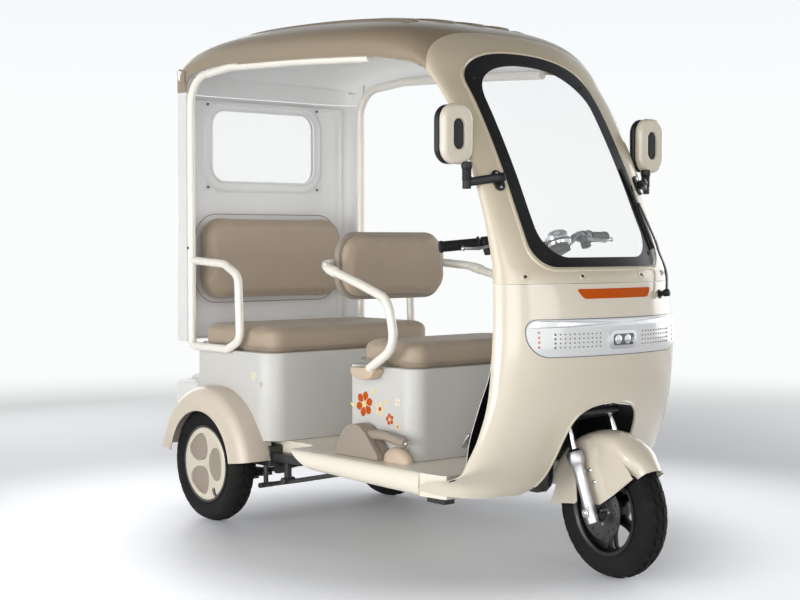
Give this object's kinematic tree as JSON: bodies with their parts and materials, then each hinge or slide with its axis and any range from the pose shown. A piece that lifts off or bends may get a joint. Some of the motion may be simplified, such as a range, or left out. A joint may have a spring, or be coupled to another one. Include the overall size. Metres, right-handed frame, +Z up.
{
  "type": "electric passenger tricycle",
  "caption": "Three-wheeled electric vehicle with a moulded open-sided cab, a driver's seat, a rear bench, a steered front wheel and driven rear wheels.",
  "frame": {"origin": "middle of the base, on the ground under the centre of the bounding box", "axes": "+X forward to the front wheel, +Y to the vehicle's left, +Z up"},
  "size_m": [1.9907, 0.946, 1.719],
  "materials": {
    "cream_paint": "glossy moulded cream body colour",
    "tan_paint": "satin tan body colour",
    "pale_plastic": "fine-grained pale grey",
    "ivory_tube": "glossy ivory powder coat",
    "taupe_leather": "soft grained upholstery with stitched seams",
    "taupe_plastic": "fine-grained taupe",
    "black_plastic": "satin black",
    "tyre_rubber": "black tyre rubber",
    "grip_rubber": "ribbed black rubber",
    "black_steel": "semi-gloss black paint",
    "silver_metal": "satin silver",
    "clear_sheet": "clear",
    "clear_lens": "clear glossy lens",
    "red_lens": "glossy red lens"
  },
  "bodies": {
    "chassis": {"battery_block": "black_plastic", "bench_backrest": "taupe_leather", "bench_box": "pale_plastic", "bench_cushion": "taupe_leather", "brake_pedal": "black_steel", "chassis_frame": "black_steel", "deck": "cream_paint", "driver_arms": "ivory_tube", "driver_backrest": "taupe_leather", "driver_box": "pale_plastic", "driver_cushion": "taupe_leather", "front_cowl": "tan_paint", "front_shell": "cream_paint", "headlamp_band": "clear_lens", "leaf_spring_left": "black_steel", "leaf_spring_right": "black_steel", "leg_shield": "pale_plastic", "mirror_left": "cream_paint", "mirror_right": "cream_paint", "parking_brake": "taupe_plastic", "rear_axle": "black_steel", "rear_fender_left": "tan_paint", "rear_fender_right": "tan_paint", "rear_liner": "pale_plastic", "rear_shell": "tan_paint", "rear_window": "clear_sheet", "roof": "tan_paint", "side_loop_left": "ivory_tube", "side_loop_right": "ivory_tube", "tail_box": "pale_plastic", "tail_lamp_left": "red_lens", "tail_lamp_right": "red_lens", "windscreen": "clear_sheet", "wiper": "black_plastic"},
    "steering": {"fork": "silver_metal", "front_fender": "cream_paint", "grip_left": "grip_rubber", "grip_right": "grip_rubber", "handlebar": "black_steel", "instrument_pod": "silver_metal"},
    "front_wheel": {"front_disc": "silver_metal", "front_rim": "black_steel", "front_tyre": "tyre_rubber"},
    "rear_wheel_right": {"rear_rim_right": "cream_paint", "rear_tyre_right": "tyre_rubber"},
    "rear_wheel_left": {"rear_rim_left": "cream_paint", "rear_tyre_left": "tyre_rubber"}
  },
  "joints": [
    {"name": "steer", "type": "hinge", "parent": "chassis", "child": "steering", "pos_m": [0.7938, 0, 0.203], "axis": [-0.3584, 0, 0.9336], "range_deg": [-32.5, 47.5]},
    {"name": "front_wheel_spin", "type": "hinge", "parent": "steering", "child": "front_wheel", "pos_m": [0.7938, 0, 0.203], "axis": [0.1219, 0.9914, 0.0468], "continuous": true},
    {"name": "rear_wheel_right_spin", "type": "hinge", "parent": "chassis", "child": "rear_wheel_right", "pos_m": [-0.7032, -0.3975, 0.203], "axis": [0, 1, 0], "continuous": true},
    {"name": "rear_wheel_left_spin", "type": "hinge", "parent": "chassis", "child": "rear_wheel_left", "pos_m": [-0.7032, 0.3975, 0.203], "axis": [0, 1, 0], "continuous": true}
  ]
}
